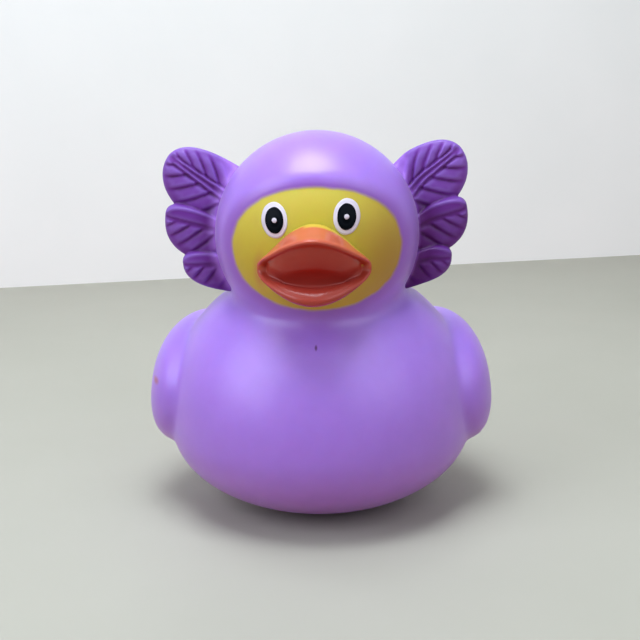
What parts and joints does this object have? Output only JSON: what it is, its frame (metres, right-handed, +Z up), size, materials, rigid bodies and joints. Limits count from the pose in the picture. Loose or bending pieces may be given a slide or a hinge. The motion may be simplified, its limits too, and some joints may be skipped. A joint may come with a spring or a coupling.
{
  "type": "rubber duck",
  "caption": "Hollow vinyl bath duck in a hood with leafy three-lobed side frills, an open bill, raised wings and an upturned tail, standing on a flat base with a vent hole",
  "frame": {"origin": "middle of the bounding box, on the plane the base stands on", "axes": "+Z up from the base to the crown of the hood, -Y the way the bill points, +X the duck's left"},
  "size_m": [0.0784, 0.0778, 0.0841],
  "materials": {
    "duck": "soft satin vinyl, with sprayed and printed paint on the face, bill, eyes and frills"
  },
  "bodies": {
    "root": {"duck": "duck"}
  },
  "joints": []
}
